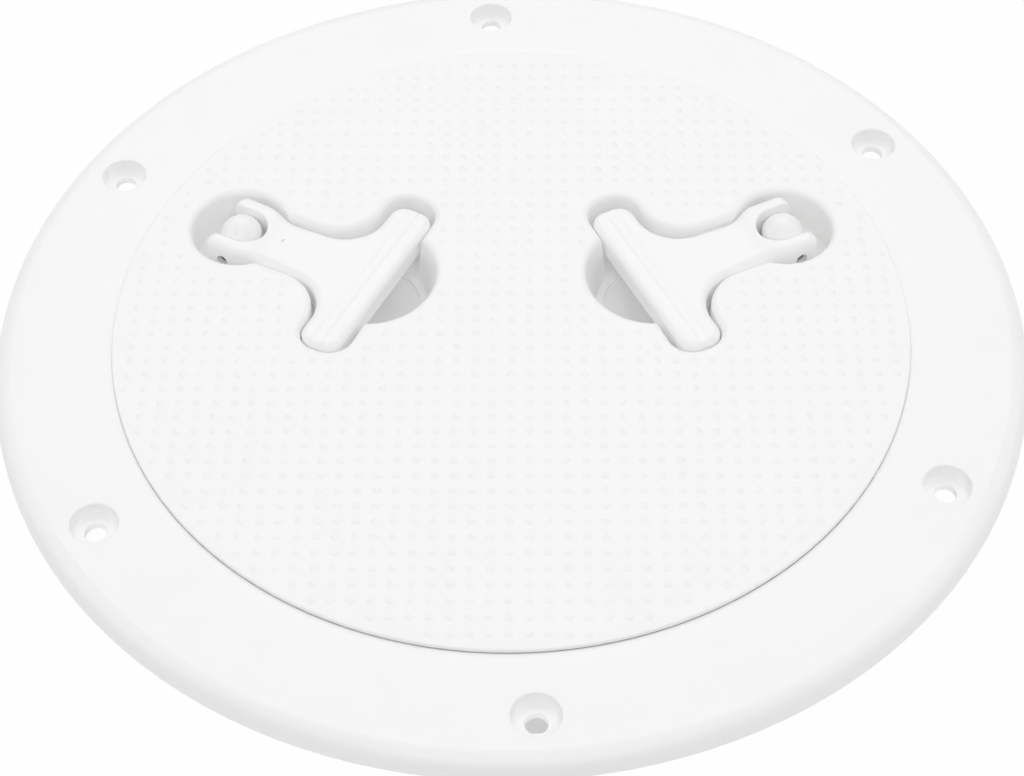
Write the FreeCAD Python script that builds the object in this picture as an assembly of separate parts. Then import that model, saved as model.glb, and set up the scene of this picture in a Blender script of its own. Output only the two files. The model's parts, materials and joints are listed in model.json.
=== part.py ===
"""Round deck inspection hatch: a screwed-down ring and a flush lid with two lift-and-turn latches.

Millimetres and degrees. The origin is the centre of the ring's underside, where it lies on the deck,
and +Z points up. Depths are measured down from the lid's flat top.
"""
import FreeCAD, Part
import math
import os
from FreeCAD import Vector

# Ring that is screwed to the deck
aperture_diameter = 220.0
flange_width = 29.0
flange_thickness = 6.0
flange_edge_radius = 5.0
aperture_edge_radius = 0.4
neck_wall = 3.5
neck_bevel = 0.5
seat_width = 6.5
seat_depth = 8.0
seat_thickness = 3.0
lip_wall = 2.5
web_count = 12
web_thickness = 2.0
web_foot_gap = 3.0
neck_foot_margin = 2.0

# Screw holes in the ring
screw_count = 6
screw_hole_diameter = 5.8
counterbore_diameter = 12.5
counterbore_depth = 3.8
hole_edge_radius = 0.5

# Lid and its seal
lid_turn = -3.2
lid_rise = 1.3
lid_gap = 0.5
lid_lap = 0.1
lid_lap_lift = 0.25
lid_edge_radius = 0.5
lid_skin = 4.0
rim_clearance = 0.5
seal_width = 3.0
seal_corner = 0.5
groove_depth = 3.0
groove_wall = 1.5
rib_thickness = 2.5
rib_count = 12
ring_rib_radius = 30.0

# Recesses in the lid: gaps round the handle, the pocket at its fork and the walls below the skin
recess_wall = 2.2
recess_edge_radius = 1.8
bar_gap_hinge_side = 1.6
bar_gap_finger_side = 1.2
bar_gap_ends = 2.6
recess_corner_radius = 6.8
recess_flare = 13.5
arm_gap = 1.1
pocket_gap = 3.2
pocket_seat_gap = 1.8
pocket_corner_radius = 2.4

# Finger wells under the handles' bars
well_radius = 19.4
well_depth = 14.2
well_draft = 12.7
well_ledge = 2.0
dish_step = 1.0
dish_sag = 2.3

# Bosses that guide the posts
boss_length = 7.5
boss_wall = 4.0

# Fixed tab of the lid, opposite the latches
tab_angle = 18.0
tab_thickness = 4.0
tab_leg = 4.0
tab_leg_clearance = 1.5
tab_clearance = 0.3

# Places of the latches on the lid, how far they turn off its centre, and the handles in their recesses
latch_half_angle = 65.7
latch_aim = 0.7
handle_play = 2.0

# Handle
bar_distance = 41.7
bar_width = 12.6
bar_length = 58.0
bar_thickness = 6.0
bar_corner_radius = 4.6
bar_groove_width = 3.6
bar_groove_depth = 0.3
arm_half_width = 8.8
arm_thickness = 7.8
handle_flare = 12.3
handle_edge_radius = 2.0
prong_width = 4.7
prong_corner_radius = 2.9
prong_edge_radius = 2.8
slot_edge_radius = 0.6
fork_length = 1.8
fork_taper = 11.2
slot_clearance = 0.3
slot_end = 8.0
knuckle_rise = 1.5
knuckle_length = 5.0
knuckle_run = 8.0
foot_length = 3.0
foot_run = 6.0

# Hinge and cam: reach is from the hinge pin's axis to the washer
pin_depth = 3.8
pin_diameter = 3.5
pin_recess = 1.4
pin_chamfer = 0.4
pin_clearance = 0.05
shut_reach = 7.6
open_reach = 6.1
cam_clearance = 0.05

# Post with its O-ring and wear washer
post_diameter = 11.8
post_clearance = 0.05
dome_height = 4.4
dome_rise = 2.5
post_square = 8.2
ring_cord = 1.8
ring_clearance = 0.02
ring_groove_play = 0.4
wear_washer_thickness = 1.0
wear_washer_diameter = 21.0

# Tongue and its fastening
tongue_gap = 0.3
grip_clearance = 0.1
tongue_thickness = 4.0
tongue_width = 14.0
tongue_corner_radius = 4.2
tongue_hub_radius = 10.0
tongue_overhang = 2.0
tongue_lead = 1.0
square_clearance = 0.05
square_short = 0.2
tongue_washer_diameter = 16.0
tongue_washer_thickness = 1.0
lock_washer_diameter = 9.2
lock_washer_thickness = 1.2
lock_washer_slit = 0.8
screw_diameter = 5.0
screw_hole_play = 0.15
screw_length = 12.0
screw_tap_margin = 1.0
screw_head_flats = 8.0
screw_head_height = 3.5

# Modelling allowances
overshoot = 1.0
touching = 0.01
shortest_edge = 0.3
cam_step = 6

# Worked out from the sizes above
flange_top = flange_thickness
top = flange_top + lid_rise
aperture_radius = aperture_diameter / 2
neck_radius = aperture_radius + neck_wall
flange_radius = neck_radius + flange_width
screw_circle_radius = neck_radius + flange_width / 2
seat_radius = aperture_radius - seat_width
lid_radius = aperture_radius - lid_gap
rim_depth = seat_depth - rim_clearance
seal_middle = (aperture_radius + seat_radius) / 2
seal_inner = seal_middle - seal_width / 2
seal_outer = seal_middle + seal_width / 2
rim_radius = seal_inner - groove_wall
groove_top_depth = rim_depth - groove_depth
grip_radius = seat_radius + lip_wall + tongue_overhang

post_radius = post_diameter / 2
bore_radius = post_radius + post_clearance
slot_half_width = post_radius + slot_clearance
fork_half_width = slot_half_width + prong_width
prong_rounding = min(prong_edge_radius, prong_corner_radius, prong_width - slot_edge_radius - shortest_edge)
slot_middle = slot_end - slot_half_width
bar_start = bar_distance - bar_width / 2
bar_end = bar_distance + bar_width / 2
bar_half_length = bar_length / 2
pocket_radius = fork_half_width + pocket_gap
latch_radius = seat_radius - pocket_seat_gap - recess_wall - pocket_radius
recess_start = bar_start - bar_gap_hinge_side
recess_end = bar_end + bar_gap_finger_side
well_middle = (recess_start + recess_end) / 2

post_drop = shut_reach - open_reach
washer_top_depth = pin_depth + shut_reach + cam_clearance
recess_depth = washer_top_depth + wear_washer_thickness
boss_bottom_depth = recess_depth + boss_length
tongue_top_depth = boss_bottom_depth + tongue_gap
lip_bottom_depth = tongue_top_depth - grip_clearance
tongue_bottom_depth = tongue_top_depth + tongue_thickness
lock_washer_depth = tongue_bottom_depth + tongue_washer_thickness
screw_head_depth = lock_washer_depth + lock_washer_thickness
neck_bottom_depth = screw_head_depth + screw_head_height + post_drop + neck_foot_margin

latch_angles = {
    "left": 90 + latch_half_angle + lid_turn,
    "right": 90 - latch_half_angle + lid_turn,
}
latch_turns = {"left": -latch_aim, "right": latch_aim}
handle_turns = {"left": -handle_play, "right": handle_play}

origin = Vector(0, 0, 0)
axis_z = Vector(0, 0, 1)
along_s = Vector(1, 0, 0)
along_t = Vector(0, 1, 0)


def level(depth):
    """Height of a plane that lies this far below the lid's flat top."""
    return top - depth


def line(a, b):
    return Part.LineSegment(a, b).toShape()


def arc(a, through, b):
    return Part.Arc(a, through, b).toShape()


def corner_arc(start, centre, end):
    """Quarter arc about a centre, from start to end."""
    middle = centre + ((start - centre) + (end - centre)).normalize() * (start - centre).Length
    return arc(start, middle, end)


def spline(points, first, last):
    curve = Part.BSplineCurve()
    curve.interpolate(Points=points, InitialTangent=first, FinalTangent=last)
    return curve.toShape()


def chain(points):
    return [line(a, b) for a, b in zip(points, points[1:])]


def revolved(edges, angle=360):
    return Part.Face(Part.Wire(edges)).revolve(origin, axis_z, angle)


def revolved_polygon(points, angle=360):
    """Turns an outline of (radius, height) points about the Z axis."""
    corners = [Vector(radius, 0, height) for radius, height in points]
    return revolved(chain(corners + corners[:1]), angle)


def ring(inner, outer, low, high):
    return revolved_polygon([(inner, low), (outer, low), (outer, high), (inner, high)])


def cylinder(radius, low, high, s=0.0):
    return Part.makeCylinder(radius, high - low, Vector(s, 0, low))


def cross_cylinder(radius, half_length, s, height):
    """Cylinder that lies across the latch, along t."""
    return Part.makeCylinder(radius, 2 * half_length, Vector(s, -half_length, height), along_t)


def block(s_low, s_high, half_width, low, high):
    return Part.makeBox(s_high - s_low, 2 * half_width, high - low, Vector(s_low, -half_width, low))


def turned_copies(shape, count, first):
    """Copies of a shape, evenly round the Z axis."""
    copies = []
    for i in range(count):
        copy = shape.copy()
        copy.rotate(origin, axis_z, first + i * 360 / count)
        copies.append(copy)
    return copies


def mirrored_outline(half):
    """Closed outline from its half on the side of positive t."""
    other = [edge.mirror(origin, along_t) for edge in half]
    return Part.Wire(Part.sortEdges(half + other)[0])


def prism(outline, low, high):
    face = Part.Face(outline)
    face.translate(Vector(0, 0, low))
    return face.extrude(Vector(0, 0, high - low))


def upright_edges(shape, corners):
    """Vertical edges of a shape that stand at the given (s, t) corners."""
    found = []
    for edge in shape.Edges:
        box = edge.BoundBox
        upright = box.XLength < touching and box.YLength < touching
        if upright and any(math.hypot(box.XMin - s, box.YMin - t) < 2 * touching for s, t in corners):
            found.append(edge)
    return found


def at_latch(shape, side, turn=0.0):
    """Places a shape from the latch's frame, where s runs to the lid's centre from the post at s = 0."""
    angle = latch_angles[side]
    away = Vector(math.cos(math.radians(angle)), math.sin(math.radians(angle)), 0) * latch_radius
    placed = shape.copy()
    placed.rotate(origin, axis_z, angle + 180 + latch_turns[side] + turn)
    placed.translate(away)
    return placed


def screw_hole_tool():
    """Counterbored hole with softly rounded edges, about the Z axis."""
    hole = screw_hole_diameter / 2
    wide = counterbore_diameter / 2
    floor = flange_top - counterbore_depth
    soft = hole_edge_radius
    edges = chain([
        Vector(wide + soft, 0, flange_top),
        Vector(wide + soft, 0, flange_top + overshoot),
        Vector(0, 0, flange_top + overshoot),
        Vector(0, 0, -overshoot),
        Vector(hole, 0, -overshoot),
        Vector(hole, 0, floor - soft),
    ])
    edges.append(corner_arc(Vector(hole, 0, floor - soft), Vector(hole + soft, 0, floor - soft),
                            Vector(hole + soft, 0, floor)))
    edges += chain([
        Vector(hole + soft, 0, floor),
        Vector(wide, 0, floor),
        Vector(wide, 0, flange_top - soft),
    ])
    edges.append(corner_arc(Vector(wide, 0, flange_top - soft),
                            Vector(wide + soft, 0, flange_top - soft),
                            Vector(wide + soft, 0, flange_top)))
    return revolved(edges)


def make_deck_ring():
    """Flange that is screwed to the deck, with a rounded outer edge and counterbored screw holes."""
    edge = flange_edge_radius
    soft = aperture_edge_radius
    high = flange_top
    outline = [corner_arc(Vector(flange_radius - edge, 0, high), Vector(flange_radius - edge, 0, high - edge),
                          Vector(flange_radius, 0, high - edge))]
    outline += chain([
        Vector(flange_radius, 0, high - edge),
        Vector(flange_radius, 0, 0),
        Vector(neck_radius, 0, 0),
        Vector(neck_radius - neck_bevel, 0, neck_bevel),
        Vector(aperture_radius, 0, neck_bevel),
        Vector(aperture_radius, 0, high - soft),
    ])
    outline.append(corner_arc(Vector(aperture_radius, 0, high - soft),
                              Vector(aperture_radius + soft, 0, high - soft),
                              Vector(aperture_radius + soft, 0, high)))
    outline.append(line(Vector(aperture_radius + soft, 0, high), Vector(flange_radius - edge, 0, high)))

    hole = screw_hole_tool()
    hole.translate(Vector(screw_circle_radius, 0, 0))
    return revolved(outline).cut(turned_copies(hole, screw_count, -90)).removeSplitter()


def make_ring_neck():
    """Neck of the ring, below its flange: wall, seat ledge, webs, and a grip lip inside the ledge."""
    under_seat = level(seat_depth + seat_thickness)
    lip_bottom = level(lip_bottom_depth)
    lip_radius = seat_radius + lip_wall
    wall = revolved_polygon([
        (aperture_radius, level(neck_bottom_depth)),
        (neck_radius, level(neck_bottom_depth)),
        (neck_radius, 0),
        (neck_radius - neck_bevel, neck_bevel),
        (aperture_radius, neck_bevel),
    ])
    ledge = revolved_polygon([
        (aperture_radius + neck_wall / 2, level(seat_depth)),
        (seat_radius, level(seat_depth)),
        (seat_radius, lip_bottom),
        (lip_radius, lip_bottom),
        (lip_radius, under_seat),
        (aperture_radius + neck_wall / 2, under_seat),
    ])
    web = block(seat_radius + lip_wall / 2, aperture_radius + neck_wall / 2, web_thickness / 2,
                lip_bottom + web_foot_gap, under_seat)
    webs = turned_copies(web, web_count, 180 / web_count)
    return wall.fuse([ledge] + webs).removeSplitter()


def bar_half_outline(start, end, reach, corner, half_arm, flare):
    """Half outline of a T: from where its arm flares out, round the bar's end, to its far side's middle."""
    room = reach - corner - half_arm - shortest_edge
    flare = min(flare, room)

    def at(s, t):
        return Vector(s, t, 0)

    return [
        corner_arc(at(start - flare, half_arm), at(start - flare, half_arm + flare),
                   at(start, half_arm + flare)),
        line(at(start, half_arm + flare), at(start, reach - corner)),
        corner_arc(at(start, reach - corner), at(start + corner, reach - corner),
                   at(start + corner, reach)),
        line(at(start + corner, reach), at(end - corner, reach)),
        corner_arc(at(end - corner, reach), at(end - corner, reach - corner), at(end, reach - corner)),
        line(at(end, reach - corner), at(end, 0)),
    ]


def recess_block(grow, low, high):
    """Latch recess as a solid, widened by grow: round pocket, channel for the arm and place for the bar."""
    pocket = pocket_radius + grow
    half_arm = arm_half_width + arm_gap + grow
    meeting = math.sqrt(pocket ** 2 - half_arm ** 2)
    half_turn = math.atan2(half_arm, meeting) / 2
    bar = bar_half_outline(
        recess_start - grow,
        recess_end + grow,
        bar_half_length + bar_gap_ends + grow,
        recess_corner_radius + grow,
        half_arm,
        recess_flare - grow,
    )
    through = Vector(-pocket * math.sin(half_turn), pocket * math.cos(half_turn), 0)
    corner = Vector(meeting, half_arm, 0)
    half = [arc(Vector(-pocket, 0, 0), through, corner), line(corner, bar[0].Vertexes[0].Point)] + bar
    solid = prism(mirrored_outline(half), low, high)
    corners = [(meeting, half_arm), (meeting, -half_arm)]
    return solid.makeFillet(pocket_corner_radius, upright_edges(solid, corners))


def well_solid(wall, high):
    """Round finger well, widened by a wall: drafted side, narrow ledge and a dished floor."""
    draft = math.tan(math.radians(well_draft))
    ledge = level(well_depth + wall)
    floor_radius = well_radius - well_depth * draft + wall
    rim = floor_radius + (high - ledge) * draft
    bowl = floor_radius - well_ledge
    step = ledge - dish_step
    bottom = step - dish_sag
    sphere = (bowl ** 2 + dish_sag ** 2) / (2 * dish_sag)
    half_turn = math.asin(bowl / sphere) / 2
    through = Vector(sphere * math.sin(half_turn), 0, bottom + sphere * (1 - math.cos(half_turn)))
    edges = [arc(Vector(0, 0, bottom), through, Vector(bowl, 0, step))]
    edges += chain([
        Vector(bowl, 0, step),
        Vector(bowl, 0, ledge),
        Vector(floor_radius, 0, ledge),
        Vector(rim, 0, high),
        Vector(0, 0, high),
        Vector(0, 0, bottom),
    ])
    well = revolved(edges)
    well.translate(Vector(well_middle, 0, 0))
    beyond = rim + overshoot
    return well.common(block(recess_start - wall, well_middle + beyond, beyond, bottom - overshoot, high))


def make_lid_disc():
    """Skin whose edge laps the ring's, with its downturned rim and the seal's groove."""
    soft = lid_edge_radius
    lap_radius = aperture_radius + lid_lap
    lap_bottom = flange_top + lid_lap_lift
    rim_bottom = level(rim_depth)
    groove_top = level(groove_top_depth)
    edges = [corner_arc(Vector(lap_radius - soft, 0, top), Vector(lap_radius - soft, 0, top - soft),
                        Vector(lap_radius, 0, top - soft))]
    edges += chain([
        Vector(lap_radius, 0, top - soft),
        Vector(lap_radius, 0, lap_bottom),
        Vector(lid_radius, 0, lap_bottom),
        Vector(lid_radius, 0, rim_bottom),
        Vector(seal_outer, 0, rim_bottom),
        Vector(seal_outer, 0, groove_top),
        Vector(seal_inner, 0, groove_top),
        Vector(seal_inner, 0, rim_bottom),
        Vector(rim_radius, 0, rim_bottom),
        Vector(rim_radius, 0, level(lid_skin)),
        Vector(0, 0, level(lid_skin)),
        Vector(0, 0, top),
        Vector(lap_radius - soft, 0, top),
    ])
    return revolved(edges)


def make_lid_tab(high):
    """Fixed tab that hooks under the ring's lip, opposite the latches."""
    hook_top = level(lip_bottom_depth + tab_clearance)
    hook_bottom = hook_top - tab_thickness
    leg_outer = seat_radius - tab_leg_clearance
    tab = revolved_polygon([
        (leg_outer - tab_leg, high),
        (leg_outer - tab_leg, hook_bottom),
        (grip_radius, hook_bottom),
        (grip_radius, hook_top),
        (leg_outer, hook_top),
        (leg_outer, high),
    ], tab_angle)
    tab.rotate(origin, axis_z, -90 + lid_turn - tab_angle / 2)
    return tab


def make_lid():
    """Flush lid: disc, ribs, fixed tab, and two latch recesses with their wells and post bosses."""
    rim_bottom = level(rim_depth)
    in_skin = level(lid_skin / 2)
    rib = block(ring_rib_radius - rib_thickness / 2, rim_radius + groove_wall / 2, rib_thickness / 2,
                rim_bottom, in_skin)
    added = turned_copies(rib, rib_count, lid_turn)
    added.append(ring(ring_rib_radius - rib_thickness, ring_rib_radius, rim_bottom, in_skin))
    added.append(make_lid_tab(in_skin))

    latch_added = [
        recess_block(recess_wall, level(recess_depth + recess_wall), in_skin),
        well_solid(recess_wall, in_skin),
        cylinder(bore_radius + boss_wall, level(boss_bottom_depth), in_skin),
    ]
    latch_removed = [
        recess_block(0.0, level(recess_depth), top + overshoot),
        well_solid(0.0, top + overshoot),
        cylinder(bore_radius, level(boss_bottom_depth + overshoot), top),
    ]
    removed = []
    for side in latch_angles:
        added += [at_latch(shape, side) for shape in latch_added]
        removed += [at_latch(shape, side) for shape in latch_removed]
    body = make_lid_disc().fuse(added).cut(removed).removeSplitter()

    mouth = []
    for edge in body.Edges:
        box = edge.BoundBox
        if box.ZMin > top - touching and box.XLength < lid_radius:
            mouth.append(edge)
    return body.makeFillet(recess_edge_radius, mouth)


def make_lid_seal():
    """Rubber ring in the lid's groove, lying on the seat."""
    low, high = level(seat_depth), level(groove_top_depth)
    return revolved_polygon([
        (seal_inner + seal_corner, low),
        (seal_outer - seal_corner, low),
        (seal_outer, low + seal_corner),
        (seal_outer, high),
        (seal_inner, high),
        (seal_inner, low + seal_corner),
    ])


def cam_point(turn):
    """Point of the lobe that bears on the washer when the handle has turned up by this many degrees.

    The reach falls evenly with the turn, so the lobe is a spiral round the hinge pin.
    """
    angle = math.radians(turn)
    rate = post_drop / math.radians(90)
    reach = shut_reach - rate * angle
    s = -reach * math.sin(angle) + rate * math.cos(angle)
    z = -reach * math.cos(angle) - rate * math.sin(angle)
    return Vector(s, 0, level(pin_depth) + z)


def handle_upper_side(low):
    """Side of the handle from above, down to a height: raised knuckle at the fork, its ramp and the top."""
    knuckle = top + knuckle_rise
    crest = Vector(knuckle_length, 0, knuckle)
    ramp_foot = Vector(knuckle_length + knuckle_run, 0, top)
    back, front = -open_reach - overshoot, bar_end + overshoot
    edges = chain([
        crest,
        Vector(back, 0, knuckle),
        Vector(back, 0, low),
        Vector(front, 0, low),
        Vector(front, 0, top),
        ramp_foot,
    ])
    edges.append(spline([ramp_foot, crest], along_s * -1, along_s * -1))
    return Part.Wire(edges)


def handle_under_side(high):
    """Side of the handle from below, up to a height: cam lobe and foot under the fork, then arm and bar."""
    cam = [cam_point(turn) for turn in range(90, -1, -cam_step)]
    foot = level(washer_top_depth - cam_clearance)
    edges = [spline(cam, Vector(0, 0, -1), along_s)]
    edges += chain([
        cam[-1],
        Vector(foot_length, 0, foot),
        Vector(foot_length + foot_run, 0, level(arm_thickness)),
        Vector(bar_start, 0, level(arm_thickness)),
        Vector(bar_end, 0, level(bar_thickness)),
        Vector(bar_end, 0, high),
        Vector(-open_reach, 0, high),
        cam[0],
    ])
    return Part.Wire(edges)


def handle_plan():
    """Plan of the handle: fork with round corners, arm, and the bar that the arm flares into."""
    back = -open_reach
    corner = prong_corner_radius
    bar = bar_half_outline(bar_start, bar_end, bar_half_length, bar_corner_radius, arm_half_width,
                           handle_flare)
    taper_start = Vector(fork_length, fork_half_width, 0)
    taper_end = Vector(fork_length + fork_taper, arm_half_width, 0)
    half = [
        line(Vector(back, 0, 0), Vector(back, fork_half_width - corner, 0)),
        corner_arc(Vector(back, fork_half_width - corner, 0),
                   Vector(back + corner, fork_half_width - corner, 0),
                   Vector(back + corner, fork_half_width, 0)),
        line(Vector(back + corner, fork_half_width, 0), taper_start),
        spline([taper_start, taper_end], along_s, along_s),
        line(taper_end, bar[0].Vertexes[0].Point),
    ]
    return mirrored_outline(half + bar)


def across(side, half_width):
    """Solid that has this side outline all the way across the latch."""
    face = Part.Face(side)
    face.translate(along_t * -half_width)
    return face.extrude(along_t * 2 * half_width)


def upper_edges_along(body, wall):
    """Edges on a body's upper side that run along another shape's wall."""
    found = []
    for edge in body.Edges:
        middle = edge.valueAt((edge.FirstParameter + edge.LastParameter) / 2)
        if edge.BoundBox.ZMin > top - touching and wall.distToShape(Part.Vertex(middle))[0] < touching:
            found.append(edge)
    return found


def rim_radius_at(point):
    """Rounding of the handle's upper rim: fullest on the prongs, and less from the knuckle's ramp on."""
    share = min(max((point.x - knuckle_length) / knuckle_run, 0.0), 1.0)
    return prong_rounding + share * (handle_edge_radius - prong_rounding)


def rounded_rim(body, rim):
    """Rounds the rim's edges, each from the radius at its start to the radius at its end."""
    document = FreeCAD.newDocument()
    base = document.addObject("Part::Feature", "base")
    base.Shape = body
    rounding = document.addObject("Part::Fillet", "rounding")
    rounding.Base = base
    radii = []
    for number, edge in enumerate(body.Edges, 1):
        if any(edge.isSame(rim_edge) for rim_edge in rim):
            first = rim_radius_at(edge.valueAt(edge.FirstParameter))
            last = rim_radius_at(edge.valueAt(edge.LastParameter))
            radii.append((number, first, last))
    rounding.Edges = radii
    document.recompute()
    return rounding.Shape.copy()


def make_handle():
    """T-shaped handle, forked round the post, in the latch's frame."""
    low = level(washer_top_depth) - overshoot
    high = top + knuckle_rise + overshoot
    half_width = bar_half_length + overshoot
    plan = handle_plan()
    body = prism(plan, low, high).common(across(handle_upper_side(low - overshoot), half_width))
    outer_wall = plan.extrude(axis_z * (high - low))
    outer_wall.translate(axis_z * low)
    body = rounded_rim(body, upper_edges_along(body, outer_wall))

    slot = cylinder(slot_half_width, low, high, slot_middle)
    slot = slot.fuse(block(-open_reach - overshoot, slot_middle, slot_half_width, low, high)).removeSplitter()
    body = body.cut(slot)
    body = body.makeFillet(slot_edge_radius, upper_edges_along(body, slot))

    groove_radius = ((bar_groove_width / 2) ** 2 + bar_groove_depth ** 2) / (2 * bar_groove_depth)
    body = body.common(across(handle_under_side(high), half_width))
    return body.cut([
        cross_cylinder(groove_radius, half_width, well_middle, top + groove_radius - bar_groove_depth),
        cross_cylinder(pin_diameter / 2, half_width, 0, level(pin_depth)),
    ]).removeSplitter()


def make_hinge_pin():
    pin = cross_cylinder(pin_diameter / 2, fork_half_width - pin_recess, 0, level(pin_depth))
    ends = [edge for edge in pin.Edges if edge.BoundBox.YLength < touching]
    return pin.makeChamfer(pin_chamfer, ends)


def ring_groove_middle():
    return level(recess_depth + boss_length / 2)


def make_post():
    """Domed post with its O-ring groove, a square end for the tongue and a tapped hole from below."""
    apex = top + dome_rise
    shoulder = apex - dome_height
    sphere = (post_radius ** 2 + dome_height ** 2) / (2 * dome_height)
    half_turn = math.asin(post_radius / sphere) / 2
    through = Vector(sphere * math.sin(half_turn), 0, apex - sphere * (1 - math.cos(half_turn)))
    tongue_top = level(tongue_top_depth)
    groove_floor = bore_radius - ring_clearance - ring_cord
    groove_half = (ring_cord + ring_groove_play) / 2
    middle = ring_groove_middle()
    edges = [arc(Vector(post_radius, 0, shoulder), through, Vector(0, 0, apex))]
    edges += chain([
        Vector(0, 0, apex),
        Vector(0, 0, tongue_top),
        Vector(post_radius, 0, tongue_top),
        Vector(post_radius, 0, middle - groove_half),
        Vector(groove_floor, 0, middle - groove_half),
        Vector(groove_floor, 0, middle + groove_half),
        Vector(post_radius, 0, middle + groove_half),
        Vector(post_radius, 0, shoulder),
    ])
    square_bottom = level(tongue_bottom_depth - square_short)
    square = block(-post_square / 2, post_square / 2, post_square / 2, square_bottom, tongue_top)
    tapped = cylinder(screw_diameter / 2, square_bottom - overshoot,
                      level(screw_head_depth - screw_length - screw_tap_margin))
    pin_bore = cross_cylinder(pin_diameter / 2 + pin_clearance, post_diameter, 0, level(pin_depth))
    return revolved(edges).fuse(square).cut([pin_bore, tapped]).removeSplitter()


def make_post_ring():
    cord = ring_cord / 2
    return Part.makeTorus(bore_radius - ring_clearance - cord, cord, Vector(0, 0, ring_groove_middle()))


def make_wear_washer():
    return ring(bore_radius, wear_washer_diameter / 2, level(recess_depth), level(washer_top_depth))


def make_tongue():
    """Arm from the post's square end, reaching out under the ring's lip, its upper edges led in."""
    low, high = level(tongue_bottom_depth), level(tongue_top_depth)
    reach = grip_radius - latch_radius
    half = tongue_width / 2
    arm = block(-reach, 0, half, low, high)
    arm = arm.makeFillet(tongue_corner_radius, upright_edges(arm, [(-reach, half), (-reach, -half)]))
    body = arm.fuse(cylinder(tongue_hub_radius, low, high)).removeSplitter()
    upper = [edge for edge in body.Edges if edge.BoundBox.ZMin > high - touching]
    body = body.makeChamfer(tongue_lead, upper)
    opening = post_square / 2 + square_clearance
    return body.cut(block(-opening, opening, opening, low - overshoot, high + overshoot))


def make_tongue_washer():
    inner = screw_diameter / 2 + screw_hole_play
    return ring(inner, tongue_washer_diameter / 2, level(lock_washer_depth), level(tongue_bottom_depth))


def make_lock_washer():
    """Split spring washer, closed flat."""
    low, high = level(screw_head_depth), level(lock_washer_depth)
    outer = lock_washer_diameter / 2
    body = ring(screw_diameter / 2 + screw_hole_play, outer, low, high)
    return body.cut(block(0, outer + overshoot, lock_washer_slit / 2, low - overshoot, high + overshoot))


def make_tongue_screw():
    """Hexagon-headed screw, up into the post's tapped hole."""
    head_low, head_high = level(screw_head_depth + screw_head_height), level(screw_head_depth)
    corner_radius = screw_head_flats / 2 / math.cos(math.radians(30))
    corner = Vector(corner_radius, 0, 0)
    corners = [FreeCAD.Rotation(axis_z, 60 * i).multVec(corner) for i in range(7)]
    head = prism(Part.makePolygon(corners), head_low, head_high)
    shank = cylinder(screw_diameter / 2, head_low, level(screw_head_depth - screw_length))
    return head.fuse(shank).removeSplitter()


def save(shape, name):
    shape.exportStep(os.path.join("parts", name + ".step"))


os.makedirs("parts", exist_ok=True)
save(make_deck_ring(), "deck_ring")
save(make_ring_neck(), "ring_neck")
save(make_lid(), "lid")
save(make_lid_seal(), "lid_seal")

wear_washer = make_wear_washer()
turning_parts = {
    "handle": make_handle(),
    "hinge_pin": make_hinge_pin(),
    "post": make_post(),
    "post_ring": make_post_ring(),
    "tongue": make_tongue(),
    "tongue_washer": make_tongue_washer(),
    "lock_washer": make_lock_washer(),
    "tongue_screw": make_tongue_screw(),
}
for latch_side, latch_turn in handle_turns.items():
    save(at_latch(wear_washer, latch_side), latch_side + "_wear_washer")
    for part_name, part_shape in turning_parts.items():
        save(at_latch(part_shape, latch_side, latch_turn), latch_side + "_" + part_name)
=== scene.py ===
"""Looks of a round deck inspection hatch: a ring, and a flush non-skid lid with two T latches."""
import bmesh
import bpy
import json
import math
from mathutils import Matrix, Vector
from mathutils.bvhtree import BVHTree


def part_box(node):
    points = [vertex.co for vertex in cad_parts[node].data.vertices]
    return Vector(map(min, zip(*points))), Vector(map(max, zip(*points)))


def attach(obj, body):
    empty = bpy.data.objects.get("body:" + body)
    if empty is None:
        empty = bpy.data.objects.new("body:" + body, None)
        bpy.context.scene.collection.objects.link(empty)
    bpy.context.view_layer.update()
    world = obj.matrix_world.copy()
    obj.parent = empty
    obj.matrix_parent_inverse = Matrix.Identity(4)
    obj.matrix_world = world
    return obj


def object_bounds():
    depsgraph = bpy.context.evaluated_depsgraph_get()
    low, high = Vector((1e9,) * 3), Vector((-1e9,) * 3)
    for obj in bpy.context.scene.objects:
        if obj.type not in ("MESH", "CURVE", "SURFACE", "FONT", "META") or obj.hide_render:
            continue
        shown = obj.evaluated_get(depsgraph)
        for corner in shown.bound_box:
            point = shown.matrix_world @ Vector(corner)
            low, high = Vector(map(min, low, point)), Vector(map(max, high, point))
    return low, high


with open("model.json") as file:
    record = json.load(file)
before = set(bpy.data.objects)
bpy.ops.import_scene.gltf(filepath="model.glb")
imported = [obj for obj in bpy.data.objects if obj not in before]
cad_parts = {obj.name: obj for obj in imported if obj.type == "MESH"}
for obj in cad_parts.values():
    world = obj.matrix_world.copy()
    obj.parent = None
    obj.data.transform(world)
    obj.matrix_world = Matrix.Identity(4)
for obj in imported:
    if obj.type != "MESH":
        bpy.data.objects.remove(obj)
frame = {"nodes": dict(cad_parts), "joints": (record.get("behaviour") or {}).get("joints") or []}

MM = 0.001
cad_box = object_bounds()
ring_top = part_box("deck_ring")[1].z
lid_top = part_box("lid")[1].z
floor_height = cad_box[0].z

# Non-skid field of the lid
bump_pitch = 4.96 * MM
bump_radius = 1.45 * MM
bump_height = 0.28 * MM
bump_foot = 0.01 * MM
bump_sides = 12
weld_share = 0.01
field_middle = (0.3 * MM, -1.0 * MM)
field_radius = 107.4 * MM

# Flat room that each bump needs round its edge, and how it is felt out
bump_margin = 0.4 * MM
flat_within = 0.02 * MM
feelers = 12
feeler_start = lid_top + 20 * MM

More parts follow.
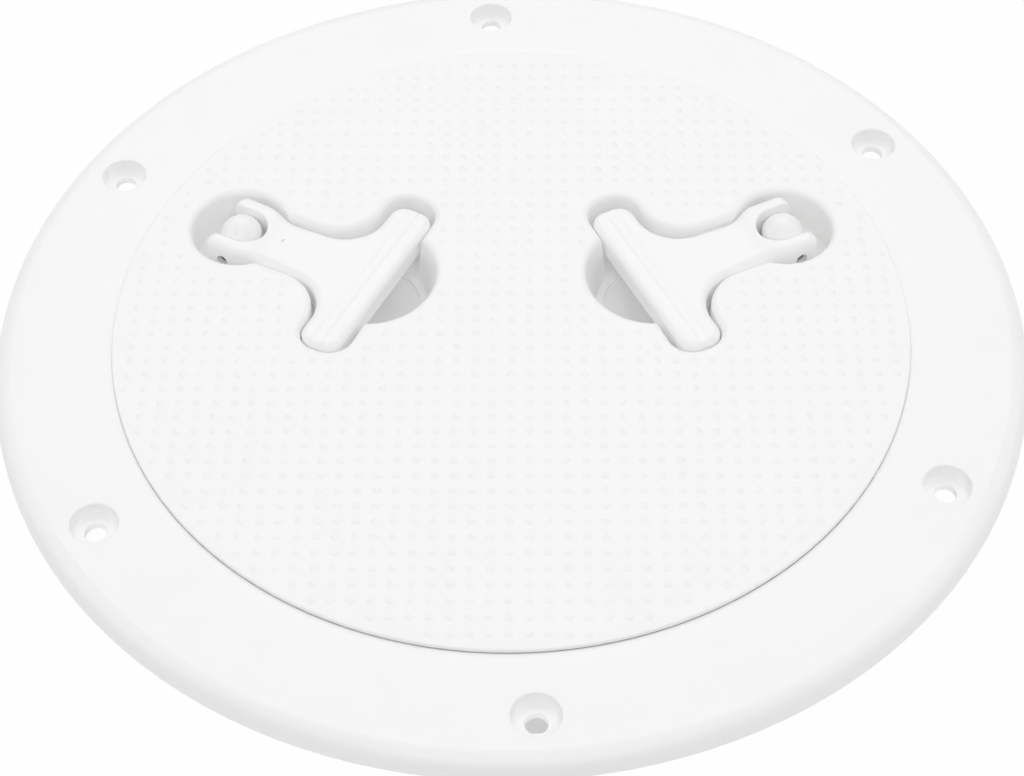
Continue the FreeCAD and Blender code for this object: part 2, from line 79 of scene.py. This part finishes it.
# Trimmed moulding gate on the arm of the left handle, from the hinge pin, with its turn in degrees
gate_mark_along_arm = 13.6 * MM
gate_mark_across_arm = 0.8 * MM
gate_mark_radius = 0.95 * MM
gate_mark_height = 0.18 * MM
gate_mark_foot = 0.05 * MM
gate_mark_slimness = 0.42
gate_mark_turn = 52.0

# Colours of the finishes, each a pair of close tones that the surface drifts between
flat_tones = ((0.957, 0.960, 0.957), (0.967, 0.970, 0.967))
latch_tones = ((0.960, 0.962, 0.960), (0.970, 0.972, 0.970))
bearing_tones = ((0.90, 0.90, 0.885), (0.93, 0.93, 0.915))
tongue_tones = ((0.74, 0.74, 0.725), (0.80, 0.80, 0.785))
# Grey of the gate mark: painted shade of the nub's shadowed edge
gate_painted_shade_tones = ((0.66, 0.66, 0.65), (0.74, 0.74, 0.73))
rubber_tones = ((0.018, 0.018, 0.019), (0.05, 0.05, 0.052))
bright_steel_tones = ((0.50, 0.50, 0.495), (0.68, 0.68, 0.67))
# Pin steel darkened: painted shade of the pin end deep in its hole
pin_steel_painted_shade_tones = ((0.16, 0.155, 0.15), (0.26, 0.255, 0.245))

# Roughness of the finishes, a pair for each in the same way
ring_roughness = (0.32, 0.40)
lid_roughness = (0.34, 0.42)
handle_roughness = (0.30, 0.37)
post_roughness = (0.26, 0.32)
bearing_roughness = (0.38, 0.48)
tongue_roughness = (0.45, 0.58)
gate_roughness = (0.50, 0.60)
rubber_roughness = (0.55, 0.75)
steel_roughness = (0.22, 0.36)

# How glassy the plastics and the rubber are
plastic_ior = 1.49
rubber_ior = 1.5
rubber_shine = 0.35

# Most of a noise's values lie between these two
noise_low = 0.3
noise_high = 0.7

# Scales of the patterns, higher for finer, and depths of the relief
cloud_scale = 38.0
satin_scale = 160.0
wave_scale = 55.0
wave_depth = 0.05 * MM
spark_scale = 2600.0
spark_depth = 0.006 * MM
rubber_mottle_scale = 90.0
rubber_gloss_scale = 400.0
rubber_grain_scale = 1500.0
rubber_grain_depth = 0.02 * MM
tool_mark_scale = 900.0
tool_mark_depth = 0.008 * MM
steel_gloss_scale = 300.0

# Stretch of the tool marks along each axis: on pressed, turned and plain steel
pressed_marks = (1.0, 6.0, 1.0)
turned_marks = (1.0, 1.0, 8.0)
plain_marks = (1.0, 1.0, 1.0)

# Floor, and the share of it that is plain white to the eye, so that the rest keeps the shadow
floor_size = 3.0
floor_gap = 0.2 * MM
floor_colour = 0.93
floor_glow = 0.97

# Light, at which a colour renders about as it is written: place, size and power of each lamp
world_light = 0.42
light_bounces = 24
lamps = {
    "far_lamp": ((0.06, 1.7, 2.2), 2.0, 19.8),
    "near_lamp": ((0.0, -1.8, 2.2), 2.0, 20.6),
    "left_lamp": ((-1.8, 0.2, 1.26), 1.5, 6.7),
    "right_lamp": ((1.8, 0.2, 1.26), 1.5, 6.7),
}

# Camera, as it stood for the photograph, with its angles in degrees
picture_width = 1024
focal_pixels = 2267.597
sensor_width = 36.0
camera_elevation = 49.78309
camera_roll = -0.943547
camera_turn = -2.0687
camera_distance = 0.6132
camera_aim = Vector((0.000049, -0.024607, 0.0))


def joint_named(name):
    """The CAD model's joint of that name."""
    return next(joint for joint in frame["joints"] if joint["name"] == name)


def lid_turn():
    """Angle from +Y to the lid's axis of symmetry, which runs midway between the two latches."""
    left = Vector(joint_named("left_handle_hinge")["pos_m"])
    right = Vector(joint_named("right_handle_hinge")["pos_m"])
    middle = left + right
    return math.atan2(middle.y, middle.x) - math.radians(90)


# Finishes

class Finish:
    """A material with its principled shader, and short ways to add what varies over the surface."""

    def __init__(self, name):
        self.material = bpy.data.materials.new(name)
        self.material.use_nodes = True
        self.nodes = self.material.node_tree.nodes
        self.links = self.material.node_tree.links
        self.shader = self.nodes["Principled BSDF"]
        self.place = self.nodes.new("ShaderNodeTexCoord").outputs["Object"]

    def stretched(self, scale):
        """The object's coordinates, stretched so that a pattern runs into streaks."""
        mapping = self.nodes.new("ShaderNodeMapping")
        mapping.inputs["Scale"].default_value = scale
        self.links.new(self.place, mapping.inputs["Vector"])
        return mapping.outputs["Vector"]

    def noise(self, scale, detail=3.0, roughness=0.5, place=None):
        """Soft irregular pattern."""
        noise = self.nodes.new("ShaderNodeTexNoise")
        noise.inputs["Scale"].default_value = scale
        noise.inputs["Detail"].default_value = detail
        noise.inputs["Roughness"].default_value = roughness
        self.links.new(place or self.place, noise.inputs["Vector"])
        return noise.outputs["Fac"]

    def colour(self, pattern, tones):
        """Colour that drifts between two close tones."""
        ramp = self.nodes.new("ShaderNodeValToRGB")
        for stop, position, tone in zip(ramp.color_ramp.elements, (noise_low, noise_high), tones):
            stop.position = position
            stop.color = (*tone, 1)
        self.links.new(pattern, ramp.inputs["Fac"])
        self.links.new(ramp.outputs["Color"], self.shader.inputs["Base Color"])

    def gloss(self, pattern, roughness):
        """Roughness that drifts between two values."""
        spread = self.nodes.new("ShaderNodeMapRange")
        spread.inputs["From Min"].default_value = noise_low
        spread.inputs["From Max"].default_value = noise_high
        spread.inputs["To Min"].default_value = roughness[0]
        spread.inputs["To Max"].default_value = roughness[1]
        self.links.new(pattern, spread.inputs["Value"])
        self.links.new(spread.outputs["Result"], self.shader.inputs["Roughness"])

    def relief(self, pattern, depth, under=None):
        """Fine relief of that depth, laid over any relief already there."""
        bump = self.nodes.new("ShaderNodeBump")
        bump.inputs["Strength"].default_value = 1.0
        bump.inputs["Distance"].default_value = depth
        self.links.new(pattern, bump.inputs["Height"])
        if under is not None:
            self.links.new(under, bump.inputs["Normal"])
        self.links.new(bump.outputs["Normal"], self.shader.inputs["Normal"])
        return bump.outputs["Normal"]


def moulded_plastic(name, tones, roughness):
    """Moulded plastic: faintly cloudy, with uneven satin gloss, soft waviness and a fine spark grain."""
    finish = Finish(name)
    finish.shader.inputs["IOR"].default_value = plastic_ior
    finish.colour(finish.noise(cloud_scale, detail=4.0), tones)
    finish.gloss(finish.noise(satin_scale), roughness)
    waves = finish.relief(finish.noise(wave_scale, detail=2.0), wave_depth)
    finish.relief(finish.noise(spark_scale, detail=2.0, roughness=0.6), spark_depth, under=waves)
    return finish.material


def seal_rubber():
    """Black rubber with a dull, slightly mottled skin."""
    finish = Finish("seal_rubber")
    finish.shader.inputs["IOR"].default_value = rubber_ior
    finish.shader.inputs["Specular IOR Level"].default_value = rubber_shine
    finish.colour(finish.noise(rubber_mottle_scale, detail=4.0), rubber_tones)
    finish.gloss(finish.noise(rubber_gloss_scale), rubber_roughness)
    finish.relief(finish.noise(rubber_grain_scale), rubber_grain_depth)
    return finish.material


def worked_steel(name, marks, tones):
    """Stainless steel with fine tool marks along one direction."""
    finish = Finish(name)
    finish.shader.inputs["Metallic"].default_value = 1.0
    lines = finish.noise(tool_mark_scale, roughness=0.6, place=finish.stretched(marks))
    finish.colour(lines, tones)
    finish.gloss(finish.noise(steel_gloss_scale, detail=2.0), steel_roughness)
    finish.relief(lines, tool_mark_depth)
    return finish.material


def dress(node, material):
    """Gives a CAD node its finish."""
    for slot in frame["nodes"][node].material_slots:
        slot.material = material


def dress_plate(lid_white, rubber):
    """Finishes of the ring, the lid and the seal between them."""
    ring_white = moulded_plastic("ring_white", flat_tones, ring_roughness)
    dress("deck_ring", ring_white)
    dress("ring_neck", ring_white)
    dress("lid", lid_white)
    dress("lid_seal", rubber)


def dress_latches(rubber):
    """Finishes of the nine pieces of each latch."""
    pressed_steel = worked_steel("pressed_steel", pressed_marks, bright_steel_tones)
    finishes = {
        "handle": moulded_plastic("handle_white", latch_tones, handle_roughness),
        "post": moulded_plastic("post_white", latch_tones, post_roughness),
        "wear_washer": moulded_plastic("bearing_white", bearing_tones, bearing_roughness),
        "tongue": moulded_plastic("tongue_white", tongue_tones, tongue_roughness),
        "post_ring": rubber,
        # The hinge pin's dark steel is painted shade of its hole
        "hinge_pin": worked_steel("pin_steel_painted_shade", plain_marks, pin_steel_painted_shade_tones),
        "tongue_screw": worked_steel("turned_steel", turned_marks, bright_steel_tones),
        "tongue_washer": pressed_steel,
        "lock_washer": pressed_steel,
    }
    for side in ("left", "right"):
        for piece, material in finishes.items():
            dress(side + "_" + piece, material)


# Pieces added to the CAD model

def put_in_scene(name, data):
    """New object at the origin."""
    thing = bpy.data.objects.new(name, data)
    bpy.context.scene.collection.objects.link(thing)
    return thing


def finished_piece(name, bm, material, body):
    """Turns a bmesh into a smooth piece that rides on a body."""
    mesh = bpy.data.meshes.new(name)
    for face in bm.faces:
        face.smooth = True
    bm.to_mesh(mesh)
    bm.free()
    mesh.materials.append(material)
    piece = put_in_scene(name, mesh)
    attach(piece, body)


def soft_dome(radius, height, foot):
    """Low round bump about the Z axis, whose foot runs out flat just under the surface it stands on."""
    profile = [(0.0, 1.0), (0.34, 0.84), (0.62, 0.42), (0.84, 0.09), (1.0, 0.0)]
    bm = bmesh.new()
    points = [bm.verts.new((radius * out, 0, -foot + (height + foot) * rise)) for out, rise in profile]
    edges = [bm.edges.new(pair) for pair in zip(points, points[1:])]
    bmesh.ops.spin(
        bm, geom=points + edges, cent=(0, 0, 0), axis=(0, 0, 1),
        angle=math.tau, steps=bump_sides, use_merge=True,
    )
    bmesh.ops.remove_doubles(bm, verts=bm.verts, dist=radius * weld_share)
    bmesh.ops.recalc_face_normals(bm, faces=bm.faces)
    if sum(face.normal.z for face in bm.faces) < 0:
        bmesh.ops.reverse_faces(bm, faces=bm.faces)
    return bm


def surface_of(node):
    """The node's surface, to be felt from above."""
    mesh = frame["nodes"][node].data
    corners = [vertex.co for vertex in mesh.vertices]
    faces = [polygon.vertices for polygon in mesh.polygons]
    return BVHTree.FromPolygons(corners, faces)


def felt_from_above(surface, x, y):
    """Highest point of the surface at that place, or None where there is nothing."""
    return surface.ray_cast(Vector((x, y, feeler_start)), Vector((0, 0, -1)))[0]


def lies_flat(surface, middle, reach):
    """True where the surface is level with the lid's top all round a place."""
    for feeler in range(feelers):
        angle = math.tau * feeler / feelers
        x = middle.x + reach * math.cos(angle)
        y = middle.y + reach * math.sin(angle)
        hit = felt_from_above(surface, x, y)
        if hit is None or abs(hit.z - lid_top) > flat_within:
            return False
    return True


def make_nonskid_field(lid_white):
    """Bumps on a square grid, in line with the lid, wherever the lid is flat round them."""
    lid_surface = surface_of("lid")
    turn = Matrix.Rotation(lid_turn(), 3, "Z")
    dome = soft_dome(bump_radius, bump_height, bump_foot)
    one_bump = bpy.data.meshes.new("one_bump")
    dome.to_mesh(one_bump)
    dome.free()

    field = bmesh.new()
    steps = int(field_radius / bump_pitch) + 1
    for column in range(-steps, steps + 1):
        for row in range(-steps, steps + 1):
            x = field_middle[0] + column * bump_pitch
            y = field_middle[1] + row * bump_pitch
            place = turn @ Vector((x, y, 0))
            in_field = place.length <= field_radius
            if in_field and lies_flat(lid_surface, place, bump_radius + bump_margin):
                first = len(field.verts)
                field.from_mesh(one_bump)
                field.verts.ensure_lookup_table()
                bmesh.ops.translate(field, verts=field.verts[first:], vec=(place.x, place.y, lid_top))
    bpy.data.meshes.remove(one_bump)
    finished_piece("nonskid_bumps", field, lid_white, "plate")


def make_gate_mark():
    """Trimmed moulding gate on the arm of the left handle: a slim nub, a little greyer than the arm, the
    grey being painted shade of the nub's shadowed edge.
    """
    hinge = joint_named("left_handle_hinge")
    axis = Vector(hinge["axis"])
    toward_bar = Vector((0, 0, 1)).cross(axis)
    middle = Vector(hinge["pos_m"]) + toward_bar * gate_mark_along_arm - axis * gate_mark_across_arm
    place = felt_from_above(surface_of("left_handle"), middle.x, middle.y)
    mark = soft_dome(gate_mark_radius, gate_mark_height, gate_mark_foot)
    turn = Matrix.Rotation(math.radians(gate_mark_turn), 3, "Z")
    bmesh.ops.scale(mark, verts=mark.verts, vec=(1, gate_mark_slimness, 1))
    bmesh.ops.rotate(mark, verts=mark.verts, cent=(0, 0, 0), matrix=turn)
    bmesh.ops.translate(mark, verts=mark.verts, vec=place)
    # The gate's grey finish is painted shade of the nub's shadowed edge
    gate_with_painted_shade = moulded_plastic("gate_with_painted_shade", gate_painted_shade_tones, gate_roughness)
    finished_piece("left_handle_gate_mark", mark, gate_with_painted_shade, "left_handle")


# Floor, light and camera

def seen_directly(tree):
    """1 for rays from the camera, a mirror or glass, and 0 for those that carry light."""
    path = tree.nodes.new("ShaderNodeLightPath")
    seen = path.outputs["Is Camera Ray"]
    for kind in ("Is Glossy Ray", "Is Transmission Ray"):
        either = tree.nodes.new("ShaderNodeMath")
        either.operation = "MAXIMUM"
        tree.links.new(seen, either.inputs[0])
        tree.links.new(path.outputs[kind], either.inputs[1])
        seen = either.outputs["Value"]
    return seen


def mix_shaders(tree, amount, lit, seen):
    """Joins the shader that light falls on with the one that is looked at."""
    mix = tree.nodes.new("ShaderNodeMixShader")
    tree.links.new(amount, mix.inputs["Fac"])
    tree.links.new(lit, mix.inputs[1])
    tree.links.new(seen, mix.inputs[2])
    return mix.outputs["Shader"]


def pale_floor():
    """White where it is looked at, apart from a faint shadow, and a pale surface for the light."""
    material = bpy.data.materials.new("pale_floor")
    material.use_nodes = True
    tree = material.node_tree
    tree.nodes.clear()
    plain = tree.nodes.new("ShaderNodeBsdfDiffuse")
    plain.inputs["Color"].default_value = (floor_colour, floor_colour, floor_colour, 1)
    glow = tree.nodes.new("ShaderNodeEmission")
    glow.inputs["Strength"].default_value = 1.0
    amount = tree.nodes.new("ShaderNodeMath")
    amount.operation = "MULTIPLY"
    amount.inputs[1].default_value = floor_glow
    tree.links.new(seen_directly(tree), amount.inputs[0])
    mixed = mix_shaders(tree, amount.outputs["Value"], plain.outputs["BSDF"], glow.outputs["Emission"])
    output = tree.nodes.new("ShaderNodeOutputMaterial")
    tree.links.new(mixed, output.inputs["Surface"])
    return material


def make_floor():
    """Wide floor just under the hatch."""
    bm = bmesh.new()
    bmesh.ops.create_grid(bm, x_segments=1, y_segments=1, size=floor_size)
    bmesh.ops.translate(bm, verts=bm.verts, vec=(0, 0, floor_height - floor_gap))
    mesh = bpy.data.meshes.new("floor")
    bm.to_mesh(mesh)
    bm.free()
    mesh.materials.append(pale_floor())
    floor = put_in_scene("floor", mesh)


def white_background(tree, strength):
    """White of that strength for the world."""
    background = tree.nodes.new("ShaderNodeBackground")
    background.inputs["Color"].default_value = (1, 1, 1, 1)
    background.inputs["Strength"].default_value = strength
    return background.outputs["Background"]


def make_world():
    """White all round, at a plain level on the hatch and full white where it is seen."""
    world = bpy.data.worlds.new("studio")
    bpy.context.scene.world = world
    world.use_nodes = True
    tree = world.node_tree
    tree.nodes.clear()
    lit = white_background(tree, world_light)
    seen = white_background(tree, 1.0)
    output = tree.nodes.new("ShaderNodeOutputWorld")
    tree.links.new(mix_shaders(tree, seen_directly(tree), lit, seen), output.inputs["Surface"])


def make_lamp(name, place, size, power):
    """Large soft lamp that faces the hatch."""
    lamp = bpy.data.lights.new(name, "AREA")
    lamp.shape = "SQUARE"
    lamp.size = size
    lamp.energy = power
    holder = put_in_scene(name, lamp)
    holder.location = place
    holder.rotation_euler = Vector(place).to_track_quat("Z", "Y").to_euler()


def light_the_hatch():
    """Even studio light from all round, with enough bounces to fill the white recesses."""
    bpy.context.scene.cycles.diffuse_bounces = light_bounces
    bpy.context.scene.cycles.max_bounces = light_bounces
    make_world()
    for name, (place, size, power) in lamps.items():
        make_lamp(name, place, size, power)


def make_camera():
    """Camera that looks at the hatch from where the photograph was taken."""
    elevation = math.radians(camera_elevation)
    roll = math.radians(camera_roll)
    turn = Matrix.Rotation(math.radians(camera_turn), 3, "Z")
    back = Vector((0, -math.cos(elevation), math.sin(elevation)))
    level_right = Vector((1, 0, 0))
    level_up = Vector((0, math.sin(elevation), math.cos(elevation)))
    right = level_right * math.cos(roll) + level_up * math.sin(roll)
    up = level_up * math.cos(roll) - level_right * math.sin(roll)
    eye = turn @ (camera_aim + back * camera_distance)

    camera = bpy.data.cameras.new("camera")
    camera.sensor_width = sensor_width
    camera.sensor_fit = "HORIZONTAL"
    camera.lens = focal_pixels * sensor_width / picture_width
    holder = put_in_scene("camera", camera)
    placed = Matrix((turn @ right, turn @ up, turn @ back)).transposed().to_4x4()
    placed.translation = eye + Vector((0, 0, ring_top))
    holder.matrix_world = placed
    bpy.context.scene.camera = holder


bpy.context.scene.view_settings.view_transform = "Standard"
rubber = seal_rubber()
lid_white = moulded_plastic("lid_white", flat_tones, lid_roughness)
dress_plate(lid_white, rubber)
dress_latches(rubber)
make_nonskid_field(lid_white)
make_gate_mark()
make_floor()
light_the_hatch()
make_camera()
